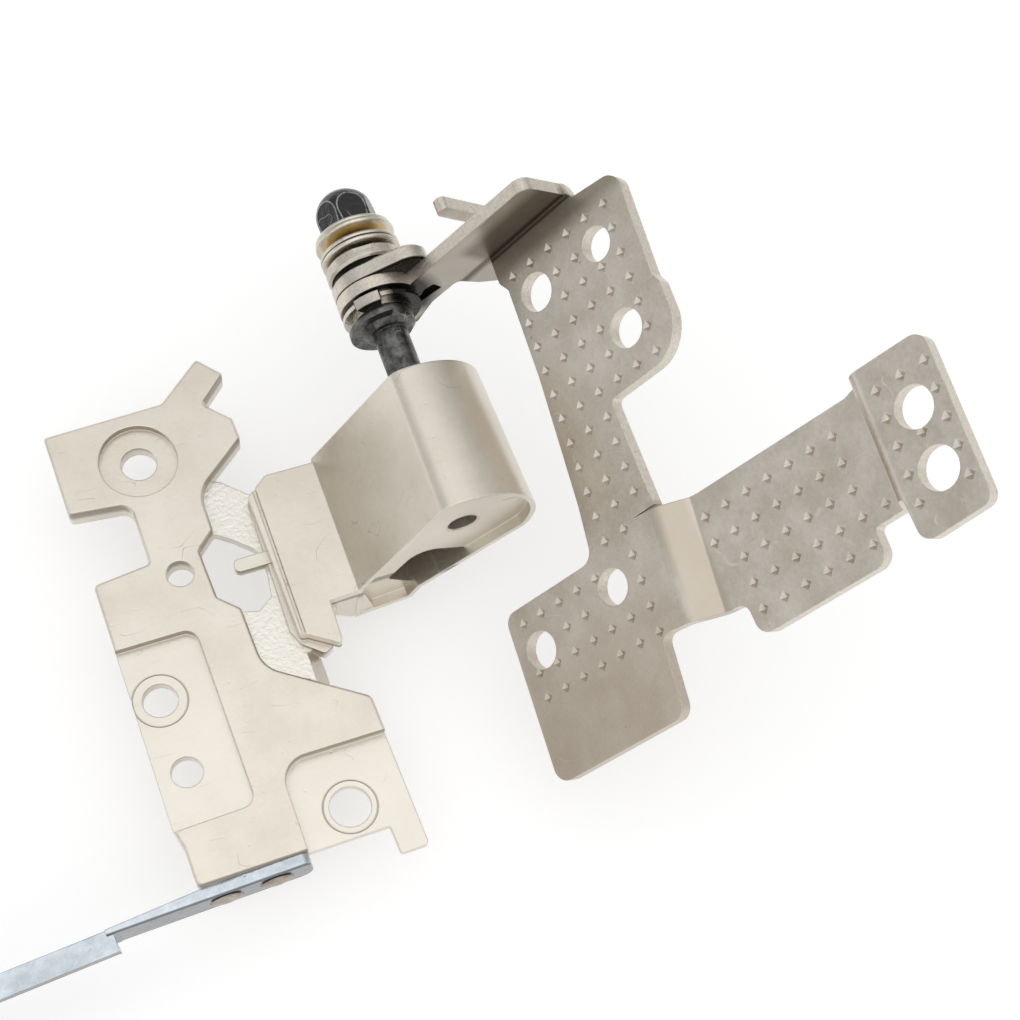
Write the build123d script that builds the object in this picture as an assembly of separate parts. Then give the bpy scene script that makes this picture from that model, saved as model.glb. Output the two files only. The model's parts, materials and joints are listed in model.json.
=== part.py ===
from build123d import *
from math import atan2, cos, degrees, hypot, radians, sin, tan
import os

# Friction hinge for a laptop screen, one of a pair. Sizes in millimetres.
# The origin is on the hinge axis at the open end of the drum. +X runs along the shaft toward
# that end, +Z is square to the lid plate and +Y crosses it.
# The base bracket is drawn in a frame of its own, X, v and n, with n square to its sheet and the
# hinge axis at v = n = 0. It is then turned about the shaft to its place.
# Corners of an outline are (across, up, corner radius).

# Hinge
opening_angle = 128        # between the closed lid and this pose
running_clearance = 0.05   # round a turning fit

# Shaft
shaft_radius = 1.3
shaft_neck = 6.0           # bare shaft between drum and collar
hub_radius = 2.1           # shoulder that carries the collar
hub_cone = 0.4             # length of its sloping front
hub_length = 0.95          # behind the collar's face
collar_radius = 2.9
collar_thickness = 0.4
collar_gap = (-60, 85)     # degrees round the shaft where the collar is cut back to the hub
spindle_radius = 1.3
spindle_flats = 1.9        # across the two flats that key the washers
thread_radius = 1.15
thread_short = 0.9         # from the thread's end to the nut's end
key_clearance = 0.04

# Friction stack, from the collar to the end of the shaft
stop_ring_radius = 2.25
stop_ring_thickness = 0.3
stop_tooth = (97, 135)     # degrees round the shaft
stop_tooth_inner = 1.9
stop_tooth_outer = 3.05
stop_tooth_length = 0.8
spacer_radius = 3.0
spacer_rim = 0.32          # thickness of its full rim
spacer_shoulder = 2.65
spacer_thickness = 0.75
spacer_notch_gap = 0.06    # round the tooth
ear_radius = 3.0
ear_thickness = 1.25
ear_lobe_radius = 1.75
ear_lobe_at = (3.3, -0.5)
cam_radius = 3.0
cam_thickness = 1.45
cam_step = 0.4             # thickness of the narrower part next to the ear
cam_step_radius = 2.72
cam_notch_width = 1.5
cam_notch_depth = 0.35
cam_notch_at = 95          # degrees round the shaft
spring_radius = 3.05
spring_thickness = 0.33
spring_cone = 0.4          # rise of each disc from its inner to its outer edge
spring_count = 3
end_washer_radius = 2.95
end_washer_thickness = 0.33
nut_across_flats = 4.1
nut_length = 3.65
nut_turn = -7.6            # degrees
nut_shoulder = (1.9, 2.36) # from the seat, and radius, where the rounded end starts
nut_brow = (3.0, 1.8)
nut_crown = 0.9            # radius of the flat end
rim_chamfer = 0.18         # edge break on the thick rings

# Lid casting: plate
axis_height = 6.0          # hinge axis above the plate's face
plate_thickness = 1.8
plate_edge = 0.15          # edge break round the face
left_recess_depth = 0.75
right_recess_depth = 1.05
web_step = 0.9             # the webs' face below the plate's face
plate_right = 17.05        # edge that carries the rail
lip_thickness = 1.5
lip_depth = 2.2            # lip below the plate that takes the rivets
lip_length = 7.4
lip_corner = 0.8
finger_high = 0.2          # cable finger's faces below the plate's face
finger_low = 1.1

# Lid casting: flange and drum
flange_height = 0.8        # flange face above the plate's face
flange_thickness = 2.5
flange_layer = 1.2         # upper layer of the flange
bead_width = 0.6
groove_width = 0.25
groove_depth = 0.3
drum_length = 11.0
drum_rim = 0.4
drum_recess = 0.8
drum_web = 1.0             # end wall at the foot of the recess
root_inset = 0.4           # of the drum's foot block from its shaft end
vent_radius = 1.1
nose_radius = 5.55
nose_draft = 0.4           # the nose is this much smaller at the shaft end
nose_centre = (-0.3, 0.45)
nose_arc = (109, -25)      # degrees, from its top to its foot
nose_blend = 1.3
pocket_depth = 8.5

# Base bracket sheet
sheet = 1.0
bend_inside = 0.12
bend_outside = 0.7
main_level = -5.0
mid_level = -6.8
tab_level = -4.4
ramp_run = 1.9
ramp_lean = -6.2           # degrees
ramp_crest = 1.5           # bend radii on the visible face
ramp_foot = 0.25
fold_run = 1.1
fold_lean = -2.4
fold_foot = 0.25
fold_crest = 1.1
strip_reach = 40.0         # blank strip that the branch is cut from
eye_radius = 3.02
hook_depth = 3.1           # hook below the main sheet
hook_reach = 3.9           # from the back of the arm to the finger's back
finger_width = 1.1
finger_place = 7.05
finger_top = -1.8

# Grip dimples pressed into the sheet
dimple_size = 0.62         # side of a dimple's square mouth
dimple_depth = 0.3
dimple_pitch_x = 1.94
dimple_pitch_v = 1.91
dimple_row_lean = -3.4
dimple_column_lean = -1.2
dimple_margin = 0.55       # from an edge to the nearest dimple's centre
dimple_hole_margin = 0.25

# Rail along the edge of the screen
rail_length = 60.0
rail_strip = 14.6          # plain strip before the channel starts
rail_height = 3.6
rail_thickness = 0.9
rail_wall = 0.45
rail_taper_start = 7.6     # from here the strip thins to a single wall
rail_soft_edge = 0.25
rail_flange = 1.7
rail_step = 0.3            # channel's top below the strip's top
rail_lip = 1.0
rail_droop = 4.5           # degrees below the plate's plane
rail_yaw = 2.5             # degrees that the channel turns outward
rail_end = -17.4
rail_top = 0.25            # below the plate's face
rivet_shank = 0.7
rivet_head = 1.1
rivet_head_height = 0.3
rivet_head_edge = 0.2
rivet_reach = 1.2
rivet_drop = 1.5           # below the rail's top
rivet_places = (2.65, 6.3) # from the rail's end

# Stations along the shaft
rest_angle = 180 - opening_angle
plate_face = -axis_height
plate_back = plate_face - plate_thickness
collar_front = -drum_length - shaft_neck
hub_back = collar_front - hub_length
stop_back = hub_back - stop_ring_thickness
spacer_back = stop_back - spacer_rim
arm_front = stop_back - spacer_thickness
arm_back = arm_front - sheet
ear_back = arm_back - ear_thickness
cam_back = ear_back - cam_thickness
spring_pitch = spring_thickness + spring_cone
springs_back = cam_back - spring_count * spring_pitch
end_washer_back = springs_back - end_washer_thickness
nut_back = end_washer_back - nut_length


def outline(corners):
    points = [corner[:2] for corner in corners]
    radii = [corner[2] for corner in corners]
    return make_face(FilletPolyline(*points, radius=radii, close=True))


def between(face, low, high):
    """A plan outline given thickness from one height to another."""
    return extrude(Pos(0, 0, low) * face, high - low, dir=(0, 0, 1))


def along_shaft(face, back, front):
    """A section across the shaft, between two stations on it."""
    return extrude(Plane.YZ.offset(back) * face, front - back, dir=(1, 0, 0))


def bore(x, y, radius, low, high):
    return between(Pos(x, y) * Circle(radius), low, high)


# Shaft and friction stack

def keyed_section(clearance):
    width = 2 * (spindle_radius + clearance)
    flats = spindle_flats + 2 * clearance
    return Circle(spindle_radius + clearance) & Rectangle(width, flats)


def sector(first, last, reach):
    """A wedge of the section across the shaft, between two angles and past the given reach."""
    angles = [radians(first + (last - first) * part) for part in (0, 0.5, 1)]
    far = [(2 * reach * cos(angle), 2 * reach * sin(angle)) for angle in angles]
    return Polygon((0, 0), *far, align=None)


def ring(radius, back, front, hole):
    body = along_shaft(Circle(radius), back, front)
    if front - back > 4 * rim_chamfer:
        body = chamfer(body.edges().filter_by(GeomType.CIRCLE), rim_chamfer)
    return body - along_shaft(hole, back, front)


def shaft():
    seat = -drum_recess - drum_web
    body = along_shaft(Circle(shaft_radius), collar_front, seat)
    hub = along_shaft(Circle(hub_radius), hub_back, collar_front + hub_cone)
    hub = chamfer(hub.edges().filter_by(GeomType.CIRCLE).sort_by(Axis.X)[-1], hub_cone)
    collar = Circle(collar_radius) - sector(*collar_gap, collar_radius)
    body += hub + along_shaft(collar, collar_front - collar_thickness, collar_front)
    spindle = along_shaft(keyed_section(0), end_washer_back, hub_back)
    thread = along_shaft(Circle(thread_radius), nut_back + thread_short, end_washer_back)
    thread = chamfer(thread.edges().filter_by(GeomType.CIRCLE).sort_by(Axis.X)[0], rim_chamfer)
    return body + spindle + thread


def stop_ring():
    tooth = Circle(stop_tooth_outer) & sector(*stop_tooth, stop_tooth_outer)
    tooth -= Circle(stop_tooth_inner)
    body = ring(stop_ring_radius, stop_back, hub_back, keyed_section(key_clearance))
    return body + along_shaft(tooth, hub_back - stop_tooth_length, hub_back)


def spacer():
    hole = keyed_section(key_clearance)
    body = ring(spacer_radius, spacer_back, stop_back, hole)
    body += ring(spacer_shoulder, arm_front, spacer_back, hole)
    spread = degrees(spacer_notch_gap / stop_tooth_inner)
    notch = sector(stop_tooth[0] - spread, stop_tooth[1] + spread, stop_tooth_outer)
    notch -= Circle(stop_tooth_inner - spacer_notch_gap)
    return body - along_shaft(notch, arm_front, stop_back)


# slot in the arm for the ear washer's leg
slot_corners = [(1.3, -1.8, 0.15), (3.55, -2.45, 0.15), (3.35, -3.5, 0.15), (1.2, -3.05, 0.15)]


def ear_outline(grow=0):
    lobe = Pos(*ear_lobe_at) * Circle(ear_lobe_radius + grow)
    return make_hull((Circle(ear_radius + grow) + lobe).edges())


def ear_washer():
    body = along_shaft(ear_outline(), ear_back, arm_back)
    body = chamfer(body.faces().filter_by(Axis.X).edges(), rim_chamfer)
    tang = offset(outline(slot_corners), -running_clearance) & ear_outline(-rim_chamfer)
    body += along_shaft(tang, arm_back - sheet / 2, arm_front)
    body -= along_shaft(Circle(spindle_radius + running_clearance), ear_back, arm_front)
    return Rot(rest_angle, 0, 0) * body


def cam_ring():
    hole = keyed_section(key_clearance)
    step = ear_back - cam_step
    body = ring(cam_radius, cam_back, step, hole) + ring(cam_step_radius, step, ear_back, hole)
    notch = Rot(0, 0, cam_notch_at) * Pos(cam_radius) * Rectangle(2 * cam_notch_depth, cam_notch_width)
    return body - along_shaft(notch, cam_back, (cam_back + step) / 2)


def disc_spring(index):
    """Coned discs stacked edge to edge, every second one turned round."""
    front = cam_back - index * spring_pitch
    inner = front if index % 2 == 0 else front - spring_cone
    outer = front - spring_cone if index % 2 == 0 else front
    hole = spindle_radius + key_clearance
    corners = [(inner, hole), (outer, spring_radius)]
    corners += [(x - spring_thickness, y) for x, y in reversed(corners)]
    return revolve(make_face(Polyline(*corners, close=True)), Axis.X)


def end_washer():
    return ring(end_washer_radius, end_washer_back, springs_back, keyed_section(key_clearance))


def lock_nut():
    across_corners = nut_across_flats / cos(radians(30))
    hexagon = Rot(0, 0, nut_turn) * RegularPolygon(across_corners / 2, 6)
    dome = [(0, 0), (0, nut_shoulder[1]), nut_shoulder, nut_brow, (nut_length, nut_crown), (nut_length, 0)]
    profile = make_face(Polyline(*[(end_washer_back - x, y) for x, y in dome], close=True))
    body = along_shaft(hexagon, nut_back, end_washer_back) & revolve(profile, Axis.X)
    return body - along_shaft(Circle(thread_radius), nut_back + thread_short, end_washer_back)


# Lid casting

plate_corners = [
    (-18.65, -25.86, 0.3), (-18.9, -17.0, 0.6), (-21.75, -13.5, 0.25), (-20.0, -11.92, 0.25),
    (-18.1, -14.0, 0.25), (-17.75, -13.84, 0), (-16.27, -12.38, 0.2), (-14.52, -12.31, 0.3),
    (-11.3, -16.4, 2.5), (-8.07, -16.4, 0.3), (-6.79, -17.81, 0.4), (-2.9, -17.67, 0.4),
    (-1.58, -16.3, 0.4), (3.2, -16.15, 2.3), (7.7, -9.55, 0.7), (19.2, -9.1, 0.3),
    (19.2, -11.2, 0.25), (plate_right, -11.3, 0.15), (plate_right, -25.25, 0.5), (14.1, -25.28, 0),
    (12.4, -25.67, 0), (-6.4, -25.67, 0.4), (-6.85, -21.45, 0.35), (-11.7, -21.45, 0.9),
    (-12.15, -25.85, 0.35)]
left_recess = [(-1.15, -27, 0), (-1.15, -19.85, 1.0), (12.7, -19.65, 1.0), (12.85, -27, 0)]
right_recess = [(10.4, -7, 0), (10.3, -17.35, 1.9), (21, -17.35, 0), (21, -7, 0)]
web_corners = [
    (-12.5, -16.0, 0), (-11.9, -14.7, 0), (-10.3, -13.0, 0.5), (-9.8, -11.0, 0), (2.6, -11.0, 0),
    (2.9, -12.8, 0), (5.0, -12.85, 0), (4.0, -15.6, 0), (2.0, -17.5, 0), (-3.0, -18.4, 0),
    (-6.8, -18.4, 0), (-9.5, -17.5, 0)]
opening_corners = [
    (-8.07, -16.4, 0.3), (-6.79, -17.81, 0.4), (-2.9, -17.67, 0.4), (-1.58, -16.3, 0.3),
    (-1.25, -15.1, 0.3), (-2.05, -13.9, 0.3), (-4.2, -13.6, 0.6), (-6.0, -13.9, 0.6),
    (-7.2, -15.2, 0.5)]
flange_corners = [
    (-10.7, -7.6, 0), (-10.7, -11.6, 0.5), (-9.4, -13.3, 0.4), (2.0, -13.05, 0.35),
    (2.1, -12.45, 0), (3.6, -10.25, 0.25), (0.1, -10.15, 0), (0, -7.6, 0)]
foot_corners = [
    (-10.5, -9.0, 0), (-10.5, -12.1, 0), (-9.5, -13.35, 0.3), (1.1, -13.5, 0.5),
    (2.3, -13.0, 0.5), (3.5, -11.6, 0.3), (3.1, -10.9, 0), (-0.5, -9.4, 0)]
skirt_corners = [(-13.2, -web_step, 0), (-12.8, -web_step, 0), (-11.9, -plate_thickness, 0),
                 (-13.2, -plate_thickness, 0)]
skirt_span = (2.75, 5.4)
finger_corners = [(-5.35, -12.8, 0), (-5.35, -15.8, 0.45), (-4.35, -15.8, 0.45), (-4.35, -12.8, 0)]
# screw holes in the plate: across, along, radius, ring radius, ring depth
counterbore = (-14.89, -19.92, 1.3, 2.85, 0.6)
tapped_holes = [(-5.43, -19.63, 1.0), (3.13, -23.72, 1.25), (8.78, -23.49, 1.13),
                (14.79, -13.5, 1.5)]
# drum section across the shaft
kink = (-7.95, -5.2)
drum_foot = [(-2.93, -8.54), (-3.68, -10.17), (-8.09, -10.89)]
root_corners = [
    (-7.5, -6.5, 0), (-10.15, -6.5, 0), (-10.15, -7.65, 0), (-9.85, -7.65, 0),
    (-9.6, -9.4, 0.4), (-8.3, -10.85, 0.5), (-6.5, -10.6, 0)]
pocket_corners = [(-5.4, -7.0, 0.6), (-3.1, -2.9, 1.7), (0.7, -5.1, 0.3), (-2.8, -9.7, 0)]


def lid_plate():
    body = between(outline(plate_corners), plate_back, plate_face)
    body = chamfer(body.faces().sort_by(Axis.Z)[-1].outer_wire().edges(), plate_edge)
    body -= between(outline(left_recess), plate_face - left_recess_depth, plate_face + 1)
    body -= between(outline(right_recess), plate_face - right_recess_depth, plate_face + 1)
    x, y, radius, ring_radius, ring_depth = counterbore
    body -= bore(x, y, ring_radius, plate_face - ring_depth, plate_face + 1)
    for x, y, radius in [counterbore[:3]] + tapped_holes:
        body -= bore(x, y, radius, plate_back - 1, plate_face + 1)
    return body


def rivet_lip():
    lip = Box(lip_thickness, lip_length, lip_depth, align=(Align.MAX, Align.MAX, Align.MAX))
    lip = fillet(lip.edges().filter_by(Axis.X).group_by(Axis.Z)[0], lip_corner)
    return Pos(plate_right, rail_end, plate_back) * lip


def webs():
    """The two low webs that join plate and flange, with the window between them."""
    top = plate_face - web_step
    body = between(outline(web_corners), plate_back, top)
    body -= between(outline(opening_corners), plate_back - 1, top + 1)
    body += between(outline(finger_corners), plate_face - finger_low, plate_face - finger_high)
    return body + along_shaft(Pos(0, plate_face) * outline(skirt_corners), *skirt_span)


def flange():
    top = plate_face + flange_height
    upper = between(outline(flange_corners), top - flange_layer, top)
    left_edge = flange_corners[2][1]
    groove_start = flange_corners[2][0]
    groove_end = flange_corners[3][0]
    groove = SlotOverall(groove_end - groove_start + 1, groove_width)
    groove = Pos((groove_start + groove_end) / 2 - 0.5, left_edge + bead_width) * groove
    upper -= between(groove, top - groove_depth, top + 1)
    foot = between(outline(foot_corners), top - flange_thickness, top - flange_layer)
    return upper + foot


def drum_section(nose):
    y, z = nose_centre
    angles = [radians(angle) for angle in (nose_arc[0], sum(nose_arc) / 2, nose_arc[1])]
    top, tip, bottom = [(y + nose * cos(angle), z + nose * sin(angle)) for angle in angles]
    sides = Polyline(bottom, *drum_foot, kink, top)
    face = make_face([*sides.edges(), ThreePointArc(top, tip, bottom)])
    soft = [face.vertices().sort_by_distance(point)[0] for point in (top, bottom)]
    return fillet(soft, nose_blend)


def drum():
    near = drum_section(nose_radius)
    far = drum_section(nose_radius - nose_draft)
    body = loft([Plane.YZ.offset(-drum_length) * far, Plane.YZ * near], ruled=True)
    inner = offset(near, -drum_rim)
    body -= along_shaft(inner, -drum_recess, 1)
    pocket = outline(pocket_corners) & inner
    body -= along_shaft(pocket, -pocket_depth, 0)
    root = along_shaft(outline(root_corners), root_inset - drum_length, -root_inset / 4)
    return body + root


def lid_bracket():
    body = lid_plate() + rivet_lip() + webs() + flange() + drum()
    seat = -drum_recess - drum_web
    body -= along_shaft(Circle(shaft_radius), -drum_length - 1, seat)
    body -= along_shaft(Circle(vent_radius), seat, 0)
    for x, y, z in rivet_centres():
        body -= Pos(x, y, z) * Rot(0, 90, 0) * Cylinder(rivet_shank, 2 * rivet_reach)
    return body


# Rail and its rivets

def on_rail(shape):
    """From the rail's own frame, drawn along -Y from its end, to its place on the plate."""
    return Pos(plate_right, rail_end, plate_face - rail_top) * Rot(rail_droop, 0, 0) * shape


def rail():
    side = [(0, 0, 0.6), (0, -rail_height, 1.1), (-rail_strip, -rail_height, 0), (-rail_strip, 0, 0)]
    strip = along_shaft(outline(side), 0, rail_thickness)
    thin = rail_thickness - rail_wall
    taper = [(-1, 0), (0, -rail_taper_start), (thin, -rail_strip), (thin, -rail_strip - 1)]
    taper.append((-1, -rail_strip - 1))
    strip -= between(make_face(Polyline(*taper, close=True)), -rail_height, 0)
    rims = strip.edges().filter_by(Axis.Y).filter_by(lambda edge: edge.center().X > thin)
    strip = fillet(rims.sort_by(Axis.Z)[-1], rail_soft_edge)
    length = rail_length - rail_strip
    corner = (Align.MIN, Align.MAX, Align.MAX)
    channel = Box(rail_wall, length, rail_height - rail_step, align=corner)
    channel += Box(rail_flange, length, rail_wall, align=corner)
    lip = Box(rail_wall, length, rail_lip, align=corner)
    channel += Pos(rail_flange - rail_wall, 0, 0) * lip
    channel = Pos(thin, -rail_strip + rail_wall, -rail_step) * Rot(0, 0, rail_yaw) * channel
    body = strip + channel
    for place in rivet_places:
        hole = Rot(0, 90, 0) * Cylinder(rivet_shank, 3 * rail_thickness)
        body -= Pos(0, -place, -rivet_drop) * hole
    return on_rail(body)


def rivet_centres():
    """Where each rivet's axis meets the edge of the plate."""
    spots = [on_rail(Pos(0, -place, -rivet_drop)).position for place in rivet_places]
    return [(spot.X, spot.Y, spot.Z) for spot in spots]


def rivet(centre):
    shank = along_shaft(Circle(rivet_shank), -rivet_reach, rail_thickness)
    head = along_shaft(Circle(rivet_head), rail_thickness, rail_thickness + rivet_head_height)
    rim = head.edges().filter_by(GeomType.CIRCLE).sort_by(Axis.X)[-1]
    return Pos(*centre) * (shank + chamfer(rim, rivet_head_edge))


# Base bracket, in its own frame

main_corners = [
    (arm_back, 7.4, 0), (-16.9, 7.3, 0.3), (-16.0, 7.85, 0.3), (-8.6, 7.45, 0), (1.2, 6.42, 0),
    (5.3, 5.75, 1.2), (5.1, -3.65, 1.0), (18.35, -4.55, 1.2), (18.6, 8.2, 1.1), (12.85, 8.9, 0.7),
    (12.9, 10.3, 0), (4.37, 10.3, 0), (4.4, 12.5, 0), (-3.9, 12.5, 0.5), (-3.85, 19.9, 3.2),
    (-8.9, 20.0, 0.4), (-9.7, 19.65, 0.3), (-17.95, 20.2, 1.3), (-18.5, 16.1, 0.3),
    (-19.0, 15.7, 0), (arm_back, 15.6, 0)]
branch_corners = [
    (4.35, 10.0, 0), (4.85, 15.0, 0), (5.2, 28.2, 0), (4.95, 29.2, 0.3), (5.1, 36.15, 1.1),
    (16.9, 35.75, 0.9), (17.05, 30.3, 1.0), (13.75, 30.2, 0.4), (13.75, 26.4, 0.4), (16.2, 26.4, 1.1),
    (16.1, 15.3, 1.1), (13.5, 15.2, 0.8), (12.9, 10.0, 0)]
main_back = main_level - sheet
hook_back = main_back - hook_depth
finger_sides = (finger_place - finger_width / 2, finger_place + finger_width / 2)
arm_corners = [
    (0, -0.5, 0), (15.35, -0.9, 1.0), (15.6, main_back, 0), (finger_sides[1], main_back, 0),
    (finger_sides[1], hook_back, 0), (finger_sides[0], hook_back, 0),
    (5.3, -8, 0.5), (4.65, -6.3, 0.4), (4.35, -4.25, 0.6), (1.5, -4.15, 0), (-1.3, -4.9, 0.5),
    (-2.9, -1.5, 0)]
# screw holes: along the shaft, v, radius
main_holes = [(-14.31, 16.42, 1.28), (-14.4, 10.12, 1.45), (-7.64, 16.01, 1.43), (7.83, 6.62, 1.34),
              (8.83, -1.53, 1.43)]
tab_holes = [(9.17, 33.53, 1.4), (13.36, 33.35, 1.45)]
ramp_centre = (8.8, 12.9)
fold_centre = (9.4, 29.5)
split = 22.0               # across the plain sheet between ramp and fold
# dimpled fields of the sheet: first and last along the shaft, first and last v
main_grip = (-17.8, 13.5, -10, 30)
mid_grip = (0, 20, 14.1, 28.5)
tab_grip = (0, 20, 30.5, 40)
# one dimple of each field
main_start = (0.62, 0.04)
mid_start = (0.54, -0.08)
tab_start = (0.45, 1.46)


def joggle(centre, run, lean, low, high, first_radius, second_radius):
    """Sheet that steps from one level to another, as a strip along X that leans on its way."""
    slope = atan2(high - low, run)
    shift = sheet * tan(slope / 2)
    turn = sheet if slope > 0 else -sheet
    before = (-run / 2, low, first_radius)
    after = (run / 2, high, second_radius)
    face_line = [(-strip_reach, low, 0), before, after, (strip_reach, high, 0)]
    before = (-run / 2 + shift, low - sheet, first_radius + turn)
    after = (run / 2 + shift, high - sheet, second_radius - turn)
    back_line = [(strip_reach, high - sheet, 0), after, before, (-strip_reach, low - sheet, 0)]
    strip = along_shaft(outline(face_line + back_line), -strip_reach, strip_reach)
    return Pos(*centre, 0) * Rot(0, 0, lean) * strip


def branch():
    """The leg of the sheet that steps down behind the screw boss and up again to the tab."""
    region = outline(branch_corners)
    near = Pos(0, split) * Rectangle(strip_reach, strip_reach, align=(Align.CENTER, Align.MAX))
    ramp = joggle(ramp_centre, ramp_run, ramp_lean, main_level, mid_level, ramp_crest, ramp_foot)
    fold = joggle(fold_centre, fold_run, fold_lean, mid_level, tab_level, fold_foot, fold_crest)
    first = ramp & between(region & near, hook_back, 0)
    second = fold & between(region - near, hook_back, 0)
    return first + second


def arm():
    """The arm that stands on the sheet's end, with the eye that the spindle turns in."""
    profile = outline(arm_corners) + Circle(eye_radius)
    profile -= Circle(spindle_radius + running_clearance)
    return along_shaft(profile - outline(slot_corners), arm_back, arm_front)


def hook():
    """The arm's tail turned back under the sheet and up into a finger that holds the cable."""
    low, high = finger_sides
    far = arm_back - hook_reach
    web = Box(hook_reach + sheet / 2, finger_width, sheet, align=(Align.MIN,) * 3)
    tip = finger_width * 0.45
    corners = [(low, hook_back, 0), (high, hook_back, 0), (high, finger_top, tip), (low, finger_top, tip)]
    return Pos(far, low, hook_back) * web + along_shaft(outline(corners), far, far + sheet)


def edges_at(body, x, z):
    """Edges along v that lie at one place in the section of the bends."""
    edges = body.edges().filter_by(Axis.Y)
    return [edge for edge in edges if hypot(edge.center().X - x, edge.center().Z - z) < 0.01]


def dimple_patch(first, level, grip, corners, holes):
    """One field of the dimple grid, kept off the sheet's edges and its screw holes."""
    left, right, low, high = grip
    window = Pos(left, low) * Rectangle(right - left, high - low, align=(Align.MIN, Align.MIN))
    field = offset(outline(corners) & window, -dimple_margin).faces()
    row, column = radians(dimple_row_lean), radians(dimple_column_lean)
    mouth = Pos(0, 0, dimple_depth) * Rot(0, 0, 45) * Rectangle(2 * dimple_size, 2 * dimple_size)
    point = loft([mouth, Vertex(0, 0, -dimple_depth)])
    dimples = []
    for i in range(-10, 10):
        for j in range(-4, 20):
            x = first[0] + i * dimple_pitch_x * cos(row) - j * dimple_pitch_v * sin(column)
            v = first[1] + i * dimple_pitch_x * sin(row) + j * dimple_pitch_v * cos(column)
            clear = all(hypot(x - a, v - b) > r + dimple_hole_margin for a, b, r in holes)
            if clear and any(face.is_inside((x, v, 0)) for face in field):
                dimples.append(Pos(x, v, level) * point)
    return dimples


def base_bracket():
    plate = between(outline(main_corners), main_back, main_level)
    body = plate + arm() + hook() + branch()
    body = fillet(edges_at(body, arm_front, main_level), bend_inside)
    body = fillet(edges_at(body, arm_back, main_back), bend_outside)
    for x, v, radius in main_holes:
        body -= bore(x, v, radius, main_back - 1, main_level + 1)
    for x, v, radius in tab_holes:
        body -= bore(x, v, radius, tab_level - sheet - 1, tab_level + 1)
    body -= dimple_patch(main_start, main_level, main_grip, main_corners, main_holes)
    body -= dimple_patch(mid_start, mid_level, mid_grip, branch_corners, [])
    body -= dimple_patch(tab_start, tab_level, tab_grip, branch_corners, tab_holes)
    return Rot(rest_angle, 0, 0) * body


pieces = {
    "lid_bracket": lid_bracket(),
    "shaft": shaft(),
    "stop_ring": stop_ring(),
    "spacer_washer": spacer(),
    "base_bracket": base_bracket(),
    "ear_washer": ear_washer(),
    "cam_ring": cam_ring(),
    "end_washer": end_washer(),
    "lock_nut": lock_nut(),
    "rail": rail(),
}
for index in range(spring_count):
    pieces[f"disc_spring_{index + 1}"] = disc_spring(index)
for index, centre in enumerate(rivet_centres()):
    pieces[f"rivet_{index + 1}"] = rivet(centre)

os.makedirs("parts", exist_ok=True)
for name, shape in pieces.items():
    export_step(shape, f"parts/{name}.step")
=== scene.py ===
import bpy
import json
from math import cos, pi, radians
from mathutils import Matrix, Vector

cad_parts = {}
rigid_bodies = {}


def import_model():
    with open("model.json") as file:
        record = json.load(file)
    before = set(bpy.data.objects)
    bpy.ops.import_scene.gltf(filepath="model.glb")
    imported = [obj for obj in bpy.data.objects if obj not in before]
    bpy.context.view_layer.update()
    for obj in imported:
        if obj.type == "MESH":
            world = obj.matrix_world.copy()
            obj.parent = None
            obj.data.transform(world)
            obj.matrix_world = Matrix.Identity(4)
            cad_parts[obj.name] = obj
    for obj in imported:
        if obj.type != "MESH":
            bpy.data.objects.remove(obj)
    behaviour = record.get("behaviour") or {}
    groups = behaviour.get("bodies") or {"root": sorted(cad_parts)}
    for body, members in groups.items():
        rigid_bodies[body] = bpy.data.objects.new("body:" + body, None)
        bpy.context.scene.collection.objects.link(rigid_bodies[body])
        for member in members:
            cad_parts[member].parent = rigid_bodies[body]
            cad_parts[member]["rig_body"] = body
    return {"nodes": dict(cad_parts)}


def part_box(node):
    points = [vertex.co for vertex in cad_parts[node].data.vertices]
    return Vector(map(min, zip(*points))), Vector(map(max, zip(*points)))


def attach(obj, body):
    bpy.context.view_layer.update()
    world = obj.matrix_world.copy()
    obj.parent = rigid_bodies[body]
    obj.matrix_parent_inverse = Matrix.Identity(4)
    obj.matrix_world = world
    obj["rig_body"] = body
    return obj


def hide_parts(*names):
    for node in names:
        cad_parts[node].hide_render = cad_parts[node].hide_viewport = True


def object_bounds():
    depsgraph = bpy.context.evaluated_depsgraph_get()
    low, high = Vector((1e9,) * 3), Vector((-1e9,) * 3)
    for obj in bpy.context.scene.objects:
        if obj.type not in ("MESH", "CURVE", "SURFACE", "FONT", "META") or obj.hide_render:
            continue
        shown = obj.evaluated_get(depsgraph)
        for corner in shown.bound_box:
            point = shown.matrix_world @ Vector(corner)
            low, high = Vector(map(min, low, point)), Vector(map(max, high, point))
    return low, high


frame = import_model()
print("frame loaded:", len(frame["nodes"]), "nodes")
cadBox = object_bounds()

millimetre = 0.001


# Camera, set by the photograph's own perspective
cameraSetup = {
    "place": (0.04418, -0.02516, 0.12008),
    "right": (0.3605, 0.9187, 0.1611),
    "up": (-0.8997, 0.2969, 0.3200),
    "lens": 63.84,
    "sensor": 36,
    "shift": (-0.1236, 0.1423),
    "nearest": 0.005,
}


def makeCamera():
    lens = bpy.data.cameras.new("photoCamera")
    lens.lens = cameraSetup["lens"]
    lens.sensor_width = cameraSetup["sensor"]
    lens.shift_x, lens.shift_y = cameraSetup["shift"]
    lens.clip_start = cameraSetup["nearest"]
    right = Vector(cameraSetup["right"]).normalized()
    back = right.cross(Vector(cameraSetup["up"])).normalized()
    up = back.cross(right)
    camera = bpy.data.objects.new("photoCamera", lens)
    camera.matrix_world = (Matrix.Translation(cameraSetup["place"])
                           @ Matrix((right, up, back)).transposed().to_4x4())
    bpy.context.scene.collection.objects.link(camera)
    bpy.context.scene.camera = camera


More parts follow.
